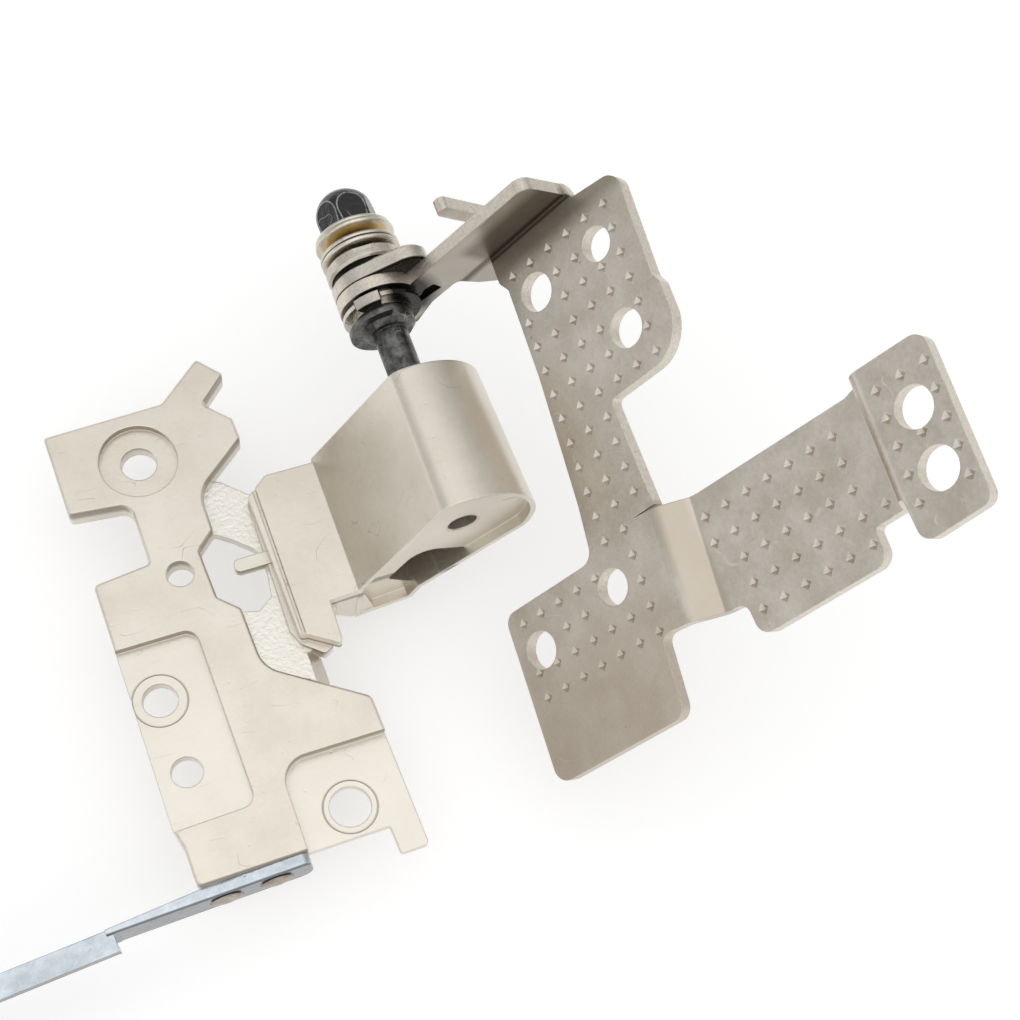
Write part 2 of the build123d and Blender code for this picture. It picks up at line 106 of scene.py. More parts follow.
makeCamera()
print("camera placed")


# Node helpers
def setInput(tree, socket, value):
    if isinstance(value, bpy.types.NodeSocket):
        tree.links.new(value, socket)
    else:
        socket.default_value = value


def addNode(tree, kind, values=None, **settings):
    node = tree.nodes.new(kind)
    for name, value in settings.items():
        setattr(node, name, value)
    for socket, value in (values or {}).items():
        setInput(tree, node.inputs[socket], value)
    return node


def startGroup(name, inputs, outputs):
    group = bpy.data.node_groups.new(name, "ShaderNodeTree")
    for label, value in inputs.items():
        kind = "NodeSocketVector" if isinstance(value, tuple) else "NodeSocketFloat"
        socket = group.interface.new_socket(label, in_out="INPUT", socket_type=kind)
        socket.default_value = value
    for label, kind in outputs.items():
        group.interface.new_socket(label, in_out="OUTPUT", socket_type="NodeSocket" + kind)
    entry = group.nodes.new("NodeGroupInput")
    leave = group.nodes.new("NodeGroupOutput")
    return group, entry.outputs, leave.inputs


def addGroup(tree, group, **values):
    node = tree.nodes.new("ShaderNodeGroup")
    node.node_tree = group
    for label, value in values.items():
        setInput(tree, node.inputs[label], value)
    return node.outputs


def addMath(tree, operation, first, second=0.0, clamp=False):
    return addNode(tree, "ShaderNodeMath", {0: first, 1: second}, operation=operation,
                   use_clamp=clamp).outputs[0]


def startMaterial(name):
    material = bpy.data.materials.new(name)
    material.use_nodes = True
    tree = material.node_tree
    return material, tree, tree.nodes["Principled BSDF"]


def mixColour(tree, factor, first, second):
    node = addNode(tree, "ShaderNodeMix", {0: factor, 6: first, 7: second}, data_type="RGBA")
    return node.outputs[2]


def mapSpan(tree, value, span, low=0.0, high=1.0):
    # the span's first value becomes low and its second high, held at both ends
    values = {"Value": value, "From Min": span[0], "From Max": span[1],
              "To Min": low, "To Max": high}
    return addNode(tree, "ShaderNodeMapRange", values).outputs[0]


# Patterns that the metals share. A span is the part of a pattern's range that is faded over.
patternSetup = {
    "edgeSamples": 5,
    "fineDetail": 3.0,
    "fineRoughness": 0.6,
    "blotchDetail": 5.0,
    "blotchRoughness": 0.62,
    "blotchSpan": (0.32, 0.68),
    "pitSpan": (0.03, 0.09),
    "hairScale": 0.9,
    "hairDetail": 1.0,
    "brokenScale": 0.45,
    "brokenSpan": (0.52, 0.6),
    "cutSpan": (0.4, 0.55),
    "facingSpan": (0.35, 0.7),
}


def makeEdgeGroup():
    # rounds the look of sharp corners and marks them for wear
    group, given, result = startGroup("roundedEdge", {"Radius": 0.0001, "Gain": 6.0},
                                      {"Normal": "Vector", "Mask": "Float"})
    bevel = addNode(group, "ShaderNodeBevel", {"Radius": given["Radius"]},
                    samples=patternSetup["edgeSamples"])
    face = addNode(group, "ShaderNodeNewGeometry")
    match = addNode(group, "ShaderNodeVectorMath",
                    {0: bevel.outputs[0], 1: face.outputs["Normal"]}, operation="DOT_PRODUCT")
    gap = addMath(group, "SUBTRACT", 1.0, match.outputs["Value"])
    group.links.new(bevel.outputs[0], result["Normal"])
    group.links.new(addMath(group, "MULTIPLY", gap, given["Gain"], clamp=True), result["Mask"])
    return group


def makeGrainGroup():
    # fine grain, wide blotches and small pits, from object coordinates in millimetres
    # Turn brings a tilted sheet's own directions back to the axes
    group, given, result = startGroup(
        "metalGrain", {"Grain": 6.0, "Blotch": 0.25, "Pits": 1.2, "Turn": 0.0},
        {"Fine": "Float", "Blotch": "Float", "Pits": "Float", "Place": "Vector"})
    spot = addNode(group, "ShaderNodeTexCoord")
    turn = addNode(group, "ShaderNodeCombineXYZ", {"X": given["Turn"]})
    perMillimetre = 1 / millimetre
    place = addNode(group, "ShaderNodeMapping",
                    {"Vector": spot.outputs["Object"], "Rotation": turn.outputs[0],
                     "Scale": (perMillimetre, perMillimetre, perMillimetre)}).outputs[0]
    fine = addNode(group, "ShaderNodeTexNoise",
                   {"Vector": place, "Scale": given["Grain"],
                    "Detail": patternSetup["fineDetail"],
                    "Roughness": patternSetup["fineRoughness"]})
    blotch = addNode(group, "ShaderNodeTexNoise",
                     {"Vector": place, "Scale": given["Blotch"],
                      "Detail": patternSetup["blotchDetail"],
                      "Roughness": patternSetup["blotchRoughness"]})
    cells = addNode(group, "ShaderNodeTexVoronoi", {"Vector": place, "Scale": given["Pits"]})
    pits = mapSpan(group, cells.outputs["Distance"], patternSetup["pitSpan"], 1.0, 0.0)
    wide = mapSpan(group, blotch.outputs["Fac"], patternSetup["blotchSpan"])
    group.links.new(fine.outputs["Fac"], result["Fine"])
    group.links.new(wide, result["Blotch"])
    group.links.new(pits, result["Pits"])
    group.links.new(place, result["Place"])
    return group


def makeScratchGroup():
    # hairlines where a stretched noise crosses its middle value, broken up by a second noise
    group, given, result = startGroup(
        "hairScratches", {"Place": (0.0, 0.0, 0.0), "Stretch": (1.0, 0.1, 1.0), "Thin": 0.008},
        {"Mask": "Float"})
    place = addNode(group, "ShaderNodeVectorMath", {0: given["Place"], 1: given["Stretch"]},
                    operation="MULTIPLY").outputs[0]
    hairs = addNode(group, "ShaderNodeTexNoise",
                    {"Vector": place, "Scale": patternSetup["hairScale"],
                     "Detail": patternSetup["hairDetail"]})
    gap = addMath(group, "ABSOLUTE", addMath(group, "SUBTRACT", hairs.outputs["Fac"], 0.5))
    line = mapSpan(group, gap, (0.0, given["Thin"]), 1.0, 0.0)
    parts = addNode(group, "ShaderNodeTexNoise",
                    {"Vector": given["Place"], "Scale": patternSetup["brokenScale"]})
    shown = mapSpan(group, parts.outputs["Fac"], patternSetup["brokenSpan"])
    group.links.new(addMath(group, "MULTIPLY", line, shown), result["Mask"])
    return group


def makeBandGroup():
    # one where a value lies within Half of Centre, fading to zero over Soft
    group, given, result = startGroup(
        "bandMask", {"Value": 0.0, "Centre": 0.0, "Half": 1.0, "Soft": 0.1}, {"Mask": "Float"})
    gap = addMath(group, "ABSOLUTE", addMath(group, "SUBTRACT", given["Value"], given["Centre"]))
    past = addMath(group, "DIVIDE", addMath(group, "SUBTRACT", gap, given["Half"]), given["Soft"])
    group.links.new(addMath(group, "SUBTRACT", 1.0, past, clamp=True), result["Mask"])
    return group


def makeRingGroup():
    # a thin circle about Centre, seen along the axis that Flat leaves out
    group, given, result = startGroup(
        "ringMask", {"Place": (0.0, 0.0, 0.0), "Centre": (0.0, 0.0, 0.0),
                     "Flat": (1.0, 1.0, 0.0), "Radius": 2.0, "Width": 0.1}, {"Mask": "Float"})
    away = addNode(group, "ShaderNodeVectorMath", {0: given["Place"], 1: given["Centre"]},
                   operation="SUBTRACT").outputs[0]
    flat = addNode(group, "ShaderNodeVectorMath", {0: away, 1: given["Flat"]},
                   operation="MULTIPLY").outputs[0]
    reach = addNode(group, "ShaderNodeVectorMath", {0: flat}, operation="LENGTH").outputs["Value"]
    gap = addMath(group, "ABSOLUTE", addMath(group, "SUBTRACT", reach, given["Radius"]))
    past = addMath(group, "DIVIDE", gap, given["Width"])
    group.links.new(addMath(group, "SUBTRACT", 1.0, past, clamp=True), result["Mask"])
    return group


def makeCutGroup():
    # the sheared rims of the folded sheet: square to the sheet's face, or to the arm's beyond Fold
    group, given, result = startGroup(
        "shearedRim", {"Turn": 0.0, "Place": (0.0, 0.0, 0.0), "Fold": -18.9}, {"Mask": "Float"})
    spot = addNode(group, "ShaderNodeTexCoord")
    turn = addNode(group, "ShaderNodeCombineXYZ", {"X": given["Turn"]})
    facing = addNode(group, "ShaderNodeMapping", {"Vector": spot.outputs["Normal"],
                                                  "Rotation": turn.outputs[0]}).outputs[0]
    parts = addNode(group, "ShaderNodeSeparateXYZ", {0: facing}).outputs
    along = addNode(group, "ShaderNodeSeparateXYZ", {0: given["Place"]}).outputs["X"]
    beyond = addMath(group, "LESS_THAN", along, given["Fold"])
    onArm = addMath(group, "MULTIPLY", addMath(group, "ABSOLUTE", parts["X"]), beyond)
    within = addMath(group, "SUBTRACT", 1.0, beyond)
    onSheet = addMath(group, "MULTIPLY", addMath(group, "ABSOLUTE", parts["Z"]), within)
    flat = addMath(group, "ADD", onArm, onSheet)
    group.links.new(mapSpan(group, flat, patternSetup["cutSpan"], 1.0, 0.0), result["Mask"])
    return group


def makeFacingGroup():
    # one on faces that look along Towards in the piece's own directions
    group, given, result = startGroup("facingMask", {"Towards": (1.0, 0.0, 0.0)}, {"Mask": "Float"})
    spot = addNode(group, "ShaderNodeTexCoord")
    lean = addNode(group, "ShaderNodeVectorMath", {0: spot.outputs["Normal"], 1: given["Towards"]},
                   operation="DOT_PRODUCT").outputs["Value"]
    group.links.new(mapSpan(group, lean, patternSetup["facingSpan"]), result["Mask"])
    return group


edgeGroup = makeEdgeGroup()
facingGroup = makeFacingGroup()
cutGroup = makeCutGroup()
grainGroup = makeGrainGroup()
scratchGroup = makeScratchGroup()
bandGroup = makeBandGroup()
ringGroup = makeRingGroup()


# Finishes, with lengths in millimetres. A tone is a band of another colour or grain, along X, Y or
# Z in the piece's own directions or by the distance R from the shaft's axis. Its within narrows it
# to other bands and its facing to one side. Many tones are painted shade. A ring is a pressed
# circle round a hole with a little painted shade, or a painted shadow line round a rivet.
finishes = {
    "castNickel": {
        "dark": (0.67, 0.615, 0.53, 1), "pale": (0.76, 0.715, 0.635, 1), "rim": (0.9, 0.87, 0.8, 1),
        "edge": 0.14, "wear": 3.0, "grain": 3.0, "blotch": 0.16, "pits": 0.8, "pitDepth": 0.01,
        "rough": (0.28, 0.4), "relief": 0.009, "metal": 0.95, "speck": 0.12,
        "scratch": {"stretch": (0.5, 0.16, 0.5), "thin": 0.004, "colour": (0.36, 0.32, 0.27, 1)},
        "tones": [
            # painted shade on the steps' walls that face +X
            {"along": "Z", "centre": -6.5, "half": 0.42, "soft": 0.1, "amount": 0.7,
             "colour": (0.17, 0.125, 0.08, 1), "facing": (1, 0, 0)},
            # rough cast plate below the smooth drum
            {"along": "Z", "centre": -7.4, "half": 0.75, "soft": 0.2, "grain": 2.2},
            # the webs' rough tops, then the smooth floors of the recesses
            {"along": "Z", "centre": -6.9, "half": 0.03, "soft": 0.03, "amount": 0.7,
             "colour": (0.84, 0.82, 0.76, 1), "grain": 3.0},
            {"along": "Z", "centre": -6.75, "half": 0.03, "soft": 0.03, "amount": 0.6,
             "colour": (0.79, 0.755, 0.68, 1), "grain": 0.5},
            {"along": "Z", "centre": -7.05, "half": 0.03, "soft": 0.03, "amount": 0.6,
             "colour": (0.79, 0.755, 0.68, 1), "grain": 0.5},
        ],
        "rings": [
            # pressed grooves round the two holes with a little painted shade, then a raised ring on
            # the drum's end
            {"centre": (3.13, -23.72, 0), "flat": (1, 1, 0), "radius": 1.95, "width": 0.09,
             "depth": 0.05, "shade": 0.12},
            {"centre": (14.79, -13.5, 0), "flat": (1, 1, 0), "radius": 1.95, "width": 0.09,
             "depth": 0.05, "shade": 0.12},
            {"centre": (0, 0, 0), "flat": (0, 1, 1), "radius": 1.22, "width": 0.12,
             "depth": -0.05, "shade": 0.0},
        ],
    },
    "sheetNickel": {
        "dark": (0.53, 0.475, 0.405, 1), "pale": (0.66, 0.615, 0.55, 1),
        "rim": (0.86, 0.81, 0.72, 1), "edge": 0.1, "wear": 2.5,
        "grain": 4.2, "blotch": 0.34, "pits": 0.6, "pitDepth": 0.02,
        "rough": (0.28, 0.42), "relief": 0.01, "metal": 0.92, "speck": 0.2, "turn": radians(-52),
        "cut": (0.84, 0.78, 0.68, 1),
        "scratch": {"stretch": (0.3, 0.1, 0.3), "thin": 0.005, "colour": (0.8, 0.75, 0.66, 1)},
        "tones": [
            # painted shade on the ramp of the step, then the sheet darker towards its +X end
            {"along": "Y", "centre": 12.9, "half": 0.9, "soft": 0.4, "amount": 0.8,
             "colour": (0.5, 0.44, 0.36, 1),
             "within": [{"along": "X", "centre": 9.0, "half": 4.8, "soft": 0.3}]},
            {"along": "X", "centre": 16.0, "half": 2.0, "soft": 9.0, "amount": 0.45,
             "colour": (0.42, 0.34, 0.25, 1),
             "within": [{"along": "Y", "centre": 0.0, "half": 9.0, "soft": 3.0}]},
            # painted shade on the arm's face, which also has coarser grain, then its painted shade
            # by the crease and the painted shadow beside the stack
            {"along": "X", "centre": -18.98, "half": 0.06, "soft": 0.02, "amount": 0.7,
             "colour": (0.38, 0.345, 0.295, 1), "grain": 1.5},
            {"along": "X", "centre": -18.3, "half": 0.72, "soft": 1.2, "amount": 0.6,
             "colour": (0.20, 0.165, 0.125, 1),
             "within": [{"along": "Z", "centre": -4.9, "half": 0.35, "soft": 0.2}]},
            {"along": "Z", "centre": -5.0, "half": 2.4, "soft": 1.2, "amount": 0.7,
             "colour": (0.12, 0.10, 0.075, 1),
             "within": [{"along": "X", "centre": -18.98, "half": 0.06, "soft": 0.02},
                        {"along": "Y", "centre": 13.2, "half": 5.6, "soft": 0.8}]},
            {"along": "R", "centre": 2.0, "half": 1.7, "soft": 1.3, "amount": 0.95,
             "colour": (0.015, 0.013, 0.01, 1),
             "within": [{"along": "X", "centre": -18.98, "half": 0.06, "soft": 0.02},
                        {"along": "Y", "centre": 4.0, "half": 3.0, "soft": 1.0}]},
            # painted shade in the crease itself and on the slot's walls
            {"along": "X", "centre": -18.85, "half": 0.14, "soft": 0.1, "amount": 0.75,
             "colour": (0.08, 0.065, 0.048, 1),
             "within": [{"along": "Z", "centre": -4.82, "half": 0.2, "soft": 0.08}]},
            {"along": "Y", "centre": 2.4, "half": 1.4, "soft": 0.1, "amount": 0.96,
             "colour": (0.015, 0.013, 0.01, 1),
             "within": [{"along": "X", "centre": -19.56, "half": 0.5, "soft": 0.04},
                        {"along": "Z", "centre": -2.65, "half": 1.1, "soft": 0.1}]},
        ],
    },
    "springNickel": {
        "dark": (0.56, 0.52, 0.44, 1), "pale": (0.76, 0.72, 0.64, 1), "rim": (0.92, 0.9, 0.84, 1),
        "edge": 0.08, "wear": 3.0, "grain": 3.0, "blotch": 0.5, "pits": 1.5, "pitDepth": 0.01,
        "rough": (0.16, 0.3), "relief": 0.012, "metal": 1.0, "speck": 0.15,
        "scratch": {"stretch": (0.1, 0.6, 0.6), "thin": 0.006, "colour": (0.4, 0.36, 0.3, 1)},
        "tones": [
            # golden film between the two outer discs, then dark oil and painted shade behind the
            # first
            {"along": "R", "centre": 1.5, "half": 1.0, "soft": 0.3, "amount": 0.75,
             "colour": (0.74, 0.62, 0.38, 1),
             "within": [{"along": "X", "centre": -24.16, "half": 0.4, "soft": 0.06}]},
            {"along": "R", "centre": 1.5, "half": 1.0, "soft": 0.3, "amount": 0.3,
             "colour": (0.06, 0.05, 0.036, 1),
             "within": [{"along": "X", "centre": -22.7, "half": 0.32, "soft": 0.06}]},
        ],
    },
    "darkOxide": {
        "dark": (0.035, 0.034, 0.033, 1), "pale": (0.19, 0.19, 0.185, 1),
        "rim": (0.36, 0.35, 0.34, 1), "edge": 0.09, "wear": 1.6,
        "grain": 3.6, "blotch": 1.1, "pits": 1.4, "pitDepth": 0.03,
        "rough": (0.26, 0.42), "relief": 0.03, "metal": 1.0, "speck": 0.15,
        "scratch": {"stretch": (0.3, 0.8, 0.8), "thin": 0.012, "colour": (0.5, 0.49, 0.47, 1)},
    },
    "blackNut": {
        "dark": (0.004, 0.004, 0.005, 1), "pale": (0.012, 0.012, 0.013, 1),
        "rim": (0.6, 0.6, 0.58, 1), "edge": 0.15, "wear": 45.0,
        "grain": 2.2, "blotch": 0.8, "pits": 1.0, "pitDepth": 0.04,
        "rough": (0.1, 0.26), "relief": 0.07, "metal": 0.0, "speck": 0.3,
        "scratch": {"stretch": (0.6, 0.6, 0.6), "thin": 0.014, "colour": (0.5, 0.5, 0.49, 1)},
    },
    "blueZinc": {
        "dark": (0.43, 0.47, 0.51, 1), "pale": (0.60, 0.65, 0.70, 1), "rim": (0.88, 0.9, 0.92, 1),
        "edge": 0.12, "wear": 3.0, "grain": 0.7, "blotch": 0.5, "pits": 0.8, "pitDepth": 0.02,
        "rough": (0.14, 0.26), "relief": 0.06, "metal": 1.0, "speck": 0.2,
        "scratch": {"stretch": (0.6, 0.12, 0.6), "thin": 0.006, "colour": (0.8, 0.83, 0.86, 1)},
        "tones": [
            # the shaded side of the strip
            {"along": "X", "centre": 18.0, "half": 6.0, "soft": 1.0, "amount": 0.85,
             "colour": (0.12, 0.125, 0.13, 1), "facing": (1, 0, 0)},
        ],
    },
    "rivetNickel": {
        "dark": (0.30, 0.255, 0.21, 1), "pale": (0.46, 0.41, 0.35, 1), "rim": (0.6, 0.55, 0.48, 1),
        "edge": 0.06, "wear": 2.0, "grain": 2.4, "blotch": 0.6, "pits": 1.1, "pitDepth": 0.04,
        "rough": (0.28, 0.44), "relief": 0.04, "metal": 1.0, "speck": 0.4,
        "scratch": {"stretch": (0.4, 0.4, 0.4), "thin": 0.01, "colour": (0.7, 0.66, 0.6, 1)},
    },
}

# Bright nickel of the stack's rings, each with old oil and painted shade in its own narrow gaps and
# on its shaded side
brightNickel = {
    "dark": (0.52, 0.48, 0.42, 1), "pale": (0.68, 0.64, 0.57, 1), "rim": (0.88, 0.85, 0.8, 1),
    "edge": 0.09, "wear": 3.0, "grain": 3.0, "blotch": 0.5, "pits": 1.1, "pitDepth": 0.03,
    "rough": (0.2, 0.36), "relief": 0.024, "metal": 1.0, "speck": 0.15,
    "scratch": {"stretch": (0.1, 0.6, 0.6), "thin": 0.008, "colour": (0.3, 0.26, 0.21, 1)},
}
oilAndShadeDark = (0.012, 0.011, 0.009, 1)
stackTones = {
    "camNickel": [
        # old oil and painted shade in the gap by the cam's step
        {"along": "R", "centre": 1.4, "half": 1.38, "soft": 0.06, "amount": 1.0,
         "colour": oilAndShadeDark,
         "within": [{"along": "X", "centre": -21.45, "half": 0.22, "soft": 0.04}]},
    ],
    "earNickel": [
        # painted shadow line at the ear's face toward the arm
        {"along": "X", "centre": -20.0, "half": 0.11, "soft": 0.09, "amount": 1.0,
         "colour": oilAndShadeDark},
        # painted shade on the ear's leg down in the arm's slot
        {"along": "X", "centre": -18.9, "half": 1.0, "soft": 0.1, "amount": 0.97,
         "colour": oilAndShadeDark},
    ],
    "spacerNickel": [
        # painted shade and oil on the spacer's +Y side, then painted shade in its gap by the arm
        {"along": "Y", "centre": 3.0, "half": 2.3, "soft": 0.7, "amount": 0.97,
         "colour": oilAndShadeDark},
        {"along": "X", "centre": -18.8, "half": 0.2, "soft": 0.05, "amount": 0.8,
         "colour": oilAndShadeDark},
    ],
    "stopNickel": [
        {"along": "X", "centre": -17.95, "half": 0.03, "soft": 0.05, "amount": 0.75,
         "colour": (0.10, 0.075, 0.05, 1)},
        # painted shade on the stop ring's +Y side, beyond its tooth
        {"along": "Y", "centre": 3.0, "half": 2.1, "soft": 0.8, "amount": 0.9,
         "colour": oilAndShadeDark},
    ],
}
for name, tones in stackTones.items():
    finishes[name] = dict(brightNickel, tones=tones)

# Shadow line where each rivet's head beds into the rail
rivetNodes = ("rivet_1", "rivet_2")
rivetRing = {"flat": (0, 1, 1), "radius": 1.16, "width": 0.14, "depth": 0.08, "shade": 0.8}


def placeRivetRing(node):
    low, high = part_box(node)
    return dict(rivetRing, centre=tuple((low + high) / 2 / millimetre))


finishes["blueZinc"]["rings"] = [placeRivetRing(node) for node in rivetNodes]


# What every metal does with its marks
metalSetup = {
    "speckSpan": (0.36, 0.64),
    "wearSpan": (0.36, 0.54),
    "leastWear": 0.25,
    "cutRelief": 2.0,
    "scratchShow": 0.6,
    "scratchDepth": 0.006,
    "pitShow": 0.3,
    "ringColour": (0.02, 0.02, 0.02, 1),
}


def tint(tree, colour, mask, amount, other):
    return mixColour(tree, addMath(tree, "MULTIPLY", mask, amount), colour, other)


def raiseGrain(tree, height, mask, more):
    # one plus more times as high where the mask is one
    gain = addMath(tree, "ADD", addMath(tree, "MULTIPLY", mask, more), 1.0)
    return addMath(tree, "MULTIPLY", height, gain)


def sink(tree, height, mask, depth):
    return addMath(tree, "SUBTRACT", height, addMath(tree, "MULTIPLY", mask, depth))


def toneBand(tree, tone, lines):
    band = 1.0
    for part in [tone] + tone.get("within", []):
        mask = addGroup(tree, bandGroup, Value=lines[part["along"]], Centre=part["centre"],
                        Half=part["half"], Soft=part["soft"])["Mask"]
        band = addMath(tree, "MULTIPLY", mask, band)
    if "facing" in tone:
        facing = addGroup(tree, facingGroup, Towards=tone["facing"])["Mask"]
        band = addMath(tree, "MULTIPLY", facing, band)
    return band


def makeMetal(name, look):
    material, tree, shader = startMaterial(name)
    edge = addGroup(tree, edgeGroup, Radius=look["edge"] * millimetre, Gain=look["wear"])
    grain = addGroup(tree, grainGroup, Grain=look["grain"], Blotch=look["blotch"],
                     Pits=look["pits"], Turn=look.get("turn", 0.0))
    place = grain["Place"]
    parts = addNode(tree, "ShaderNodeSeparateXYZ", {0: place}).outputs
    around = addNode(tree, "ShaderNodeVectorMath", {0: place, 1: (0, 1, 1)}, operation="MULTIPLY")
    reach = addNode(tree, "ShaderNodeVectorMath", {0: around.outputs[0]}, operation="LENGTH")
    lines = {"X": parts["X"], "Y": parts["Y"], "Z": parts["Z"], "R": reach.outputs["Value"]}

    # plain surface
    speck = mapSpan(tree, grain["Fine"], metalSetup["speckSpan"], -look["speck"], look["speck"])
    colour = mixColour(tree, addMath(tree, "ADD", grain["Blotch"], speck, clamp=True),
                       look["dark"], look["pale"])
    height = addMath(tree, "MULTIPLY", grain["Fine"], look["relief"])
    if "cut" in look:
        cut = addGroup(tree, cutGroup, Turn=look["turn"], Place=place)["Mask"]
        shade = mixColour(tree, addMath(tree, "ADD", 0.5, speck, clamp=True),
                          look["dark"], look["cut"])
        colour = mixColour(tree, cut, colour, shade)
        height = raiseGrain(tree, height, cut, metalSetup["cutRelief"])

    # scratches, pits and worn corners
    scratch = addGroup(tree, scratchGroup, Place=place, Stretch=look["scratch"]["stretch"],
                       Thin=look["scratch"]["thin"])["Mask"]
    colour = tint(tree, colour, scratch, metalSetup["scratchShow"], look["scratch"]["colour"])
    colour = tint(tree, colour, grain["Pits"], metalSetup["pitShow"], look["dark"])
    patches = mapSpan(tree, grain["Fine"], metalSetup["wearSpan"], metalSetup["leastWear"])
    colour = tint(tree, colour, edge["Mask"], patches, look["rim"])

    for tone in look.get("tones", []):
        band = toneBand(tree, tone, lines)
        if "colour" in tone:
            colour = tint(tree, colour, band, tone["amount"], tone["colour"])
        if "grain" in tone:
            height = raiseGrain(tree, height, band, tone["grain"] - 1.0)
    for ring in look.get("rings", []):
        mark = addGroup(tree, ringGroup, Place=place, Centre=ring["centre"], Flat=ring["flat"],
                        Radius=ring["radius"], Width=ring["width"])["Mask"]
        colour = tint(tree, colour, mark, ring["shade"], metalSetup["ringColour"])
        height = sink(tree, height, mark, ring["depth"])
    height = sink(tree, height, grain["Pits"], look["pitDepth"])
    height = sink(tree, height, scratch, metalSetup["scratchDepth"])

    rough = mapSpan(tree, grain["Fine"], (0.0, 1.0), look["rough"][0], look["rough"][1])
    bump = addNode(tree, "ShaderNodeBump", {"Height": height, "Normal": edge["Normal"],
                                            "Distance": millimetre, "Strength": 1.0})
    tree.links.new(colour, shader.inputs["Base Color"])
    tree.links.new(rough, shader.inputs["Roughness"])
    tree.links.new(bump.outputs[0], shader.inputs["Normal"])
    shader.inputs["Metallic"].default_value = look["metal"]
    return material


metals = {name: makeMetal(name, look) for name, look in finishes.items()}
print("finishes made:", len(metals))


# Piece helpers
mergeDistance = 1e-6


def makeActive(piece):
    bpy.ops.object.select_all(action="DESELECT")
    piece.select_set(True)
    bpy.context.view_layer.objects.active = piece


def applyModifier(piece, kind, **settings):
    makeActive(piece)
    modifier = piece.modifiers.new("finish", kind)
    for name, value in settings.items():
        setattr(modifier, name, value)
    bpy.ops.object.modifier_apply(modifier=modifier.name)


def smoothPiece(piece, angle):
    makeActive(piece)
    bpy.ops.object.shade_smooth_by_angle(angle=radians(angle))
    applyModifier(piece, "WEIGHTED_NORMAL", keep_sharp=True, weight=100)


def standFor(piece, node, look):
    piece.data.materials.clear()
    piece.data.materials.append(metals[look])
    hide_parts(node)
    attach(piece, frame["nodes"][node]["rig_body"])


def applyPlace(piece):
    makeActive(piece)
    bpy.ops.object.transform_apply(location=True, rotation=True, scale=True)


# Turned body about a line along X: a disc drawn out station by station
def turnPiece(name, stations, centre, sides):
    bpy.ops.object.select_all(action="DESELECT")
    start, radius = stations[0]
    bpy.ops.mesh.primitive_circle_add(vertices=sides, radius=radius, fill_type="NGON",
                                      location=(start, centre[0], centre[1]),
                                      rotation=(0, pi / 2, 0))
    piece = bpy.context.object
    piece.name = name
    applyPlace(piece)
    bpy.ops.object.mode_set(mode="EDIT")
    bpy.ops.mesh.select_all(action="SELECT")
    for station, nextRadius in stations[1:]:
        step = (station - start, 0, 0)
        bpy.ops.mesh.extrude_region_move(TRANSFORM_OT_translate={"value": step})
        ratio = nextRadius / radius
        bpy.ops.transform.resize(value=(1, ratio, ratio),
                                 center_override=(station, centre[0], centre[1]))
        start, radius = station, nextRadius
    bpy.ops.mesh.select_all(action="SELECT")
    bpy.ops.mesh.normals_make_consistent(inside=False)
    bpy.ops.object.mode_set(mode="OBJECT")
    return piece


# Smooth skins over the machined and stamped pieces
skinSetup = {
    "flatAngle": 0.3,
    "smoothAngle": 32,
    "finish": {
        "lid_bracket": "castNickel", "base_bracket": "sheetNickel", "shaft": "darkOxide",
        "rail": "blueZinc", "stop_ring": "stopNickel", "spacer_washer": "spacerNickel",
        "ear_washer": "earNickel", "cam_ring": "camNickel",
    },
}


def makeSkin(node, look):
    piece = bpy.data.objects.new(node + "_skin", frame["nodes"][node].data.copy())
    bpy.context.scene.collection.objects.link(piece)
    makeActive(piece)
    bpy.ops.mesh.customdata_custom_splitnormals_clear()
    bpy.ops.object.mode_set(mode="EDIT")
    bpy.ops.mesh.select_all(action="SELECT")
    bpy.ops.mesh.remove_doubles(threshold=mergeDistance)
    bpy.ops.mesh.dissolve_limited(angle_limit=radians(skinSetup["flatAngle"]))
    bpy.ops.object.mode_set(mode="OBJECT")
    smoothPiece(piece, skinSetup["smoothAngle"])
    standFor(piece, node, look)


for node, look in skinSetup["finish"].items():
    makeSkin(node, look)
print("skins made:", len(skinSetup["finish"]))


# Disc springs and end washer: a section spun round the shaft, with its rims rounded
discSetup = {
    "hole": 1.36,
    "thickness": 0.31,
    "cone": 0.4,
    "round": 0.13,
    "roundSteps": 3,
    "roundAngle": 40,
    "smoothAngle": 45,
    "spinSteps": 96,
    "discs": {  # 1 where the hole lies further along X than the rim, -1 where less, 0 if flat
        "disc_spring_1": 1, "disc_spring_2": -1, "disc_spring_3": 1, "end_washer": 0,
    },
}


